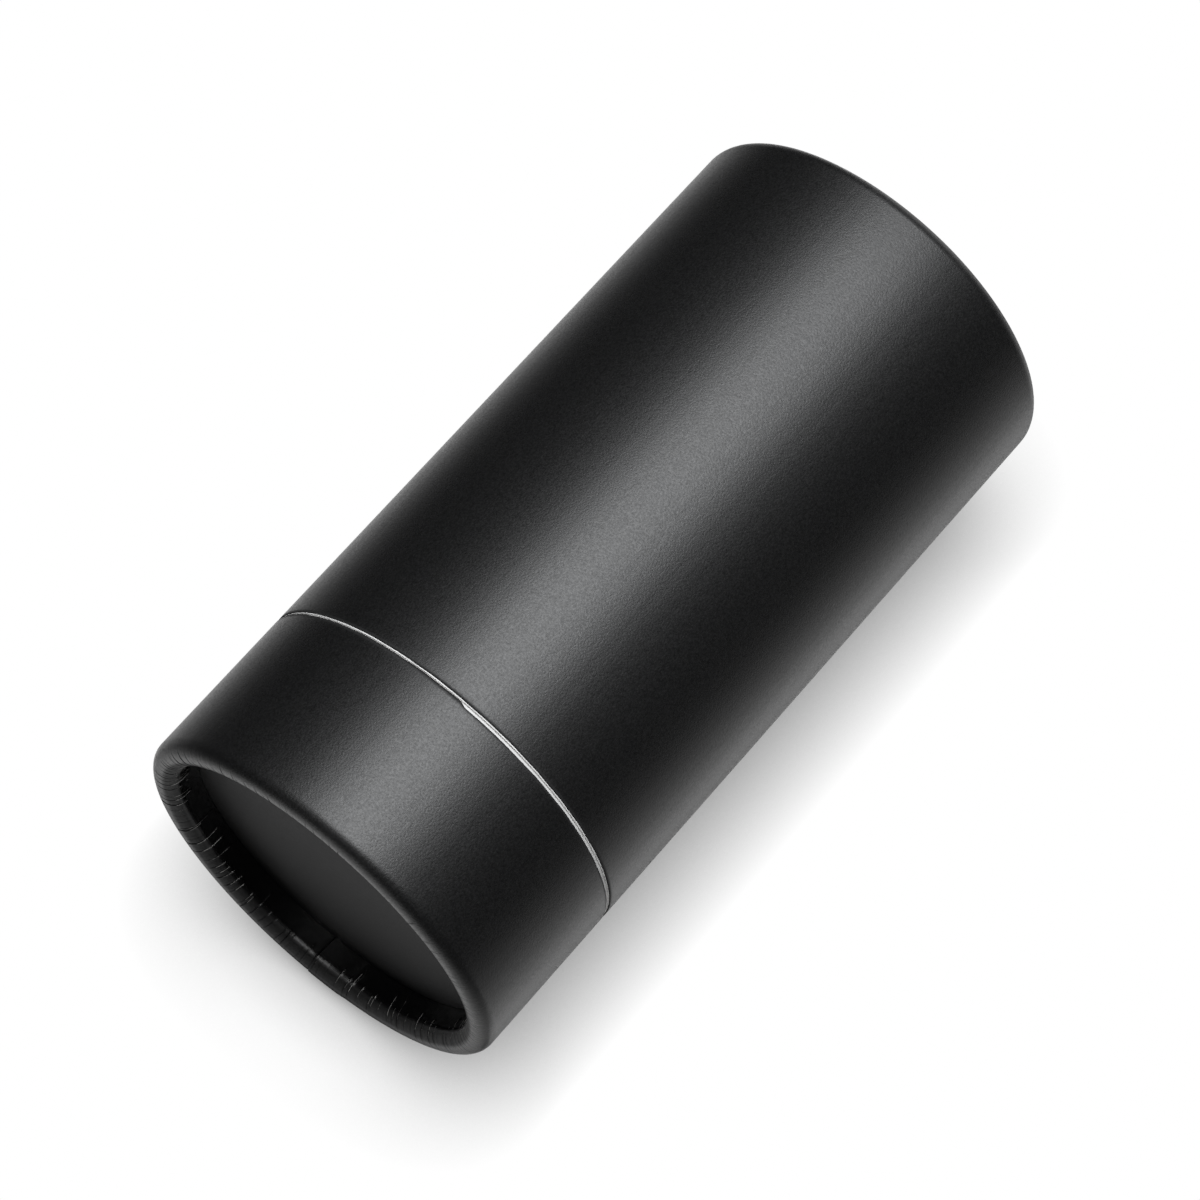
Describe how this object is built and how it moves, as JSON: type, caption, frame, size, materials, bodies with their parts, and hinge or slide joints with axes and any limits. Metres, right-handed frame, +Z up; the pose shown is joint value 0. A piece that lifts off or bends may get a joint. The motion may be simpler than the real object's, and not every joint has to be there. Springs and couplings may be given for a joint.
{
  "type": "cylindrical gift tube box",
  "caption": "Rigid paper gift tube with a short base, a tall lift-off lid that slides over an inner neck, and rolled rims around sunk end discs.",
  "frame": {"origin": "centre of the plane that the rolled foot stands on", "axes": "+Z up along the tube from the base to the lid, -Y the front, +Y the back with the lap seam of the black paper"},
  "size_m": [0.07, 0.0702, 0.143],
  "materials": {
    "black_paper": "matt laminated",
    "facing_paper": "matt uncoated",
    "board": "raw wound board",
    "lining_paper": "matt uncoated"
  },
  "bodies": {
    "base": {"base_tube": "board", "base_wrap": "black_paper", "base_disc": "board", "base_disc_facing": "facing_paper", "base_lining": "lining_paper", "neck_tube": "board", "neck_sleeve": "lining_paper"},
    "lid": {"lid_tube": "board", "lid_wrap": "black_paper", "lid_disc": "board", "lid_disc_facing": "facing_paper", "lid_lining": "lining_paper"}
  },
  "joints": [
    {"name": "lid_lift", "type": "slide", "parent": "base", "child": "lid", "axis": [0, 0, 1], "range_m": [0, 0.11]}
  ]
}
